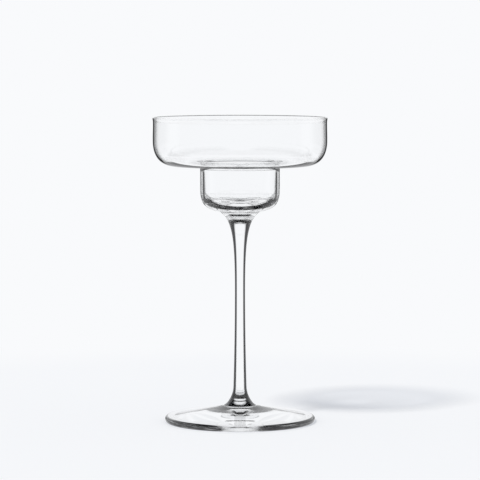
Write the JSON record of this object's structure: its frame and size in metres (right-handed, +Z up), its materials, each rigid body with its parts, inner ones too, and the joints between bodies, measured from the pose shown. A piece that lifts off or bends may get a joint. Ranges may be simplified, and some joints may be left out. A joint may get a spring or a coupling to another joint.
{
  "type": "margarita glass",
  "caption": "Stemmed margarita glass: a wide shallow bowl that steps down into a narrow cup, on a slim drawn stem and a round foot.",
  "frame": {"origin": "centre of the foot's underside, on the surface that the glass stands on", "axes": "+Z up along the axis of the stem; the glass is round about it, so +X and +Y are alike"},
  "size_m": [0.1086, 0.1086, 0.19],
  "materials": {
    "clear_glass": "clear polished crystal glass, fire-polished at the rim"
  },
  "bodies": {
    "root": {"bowl": "clear_glass", "stem": "clear_glass", "foot": "clear_glass"}
  },
  "joints": []
}
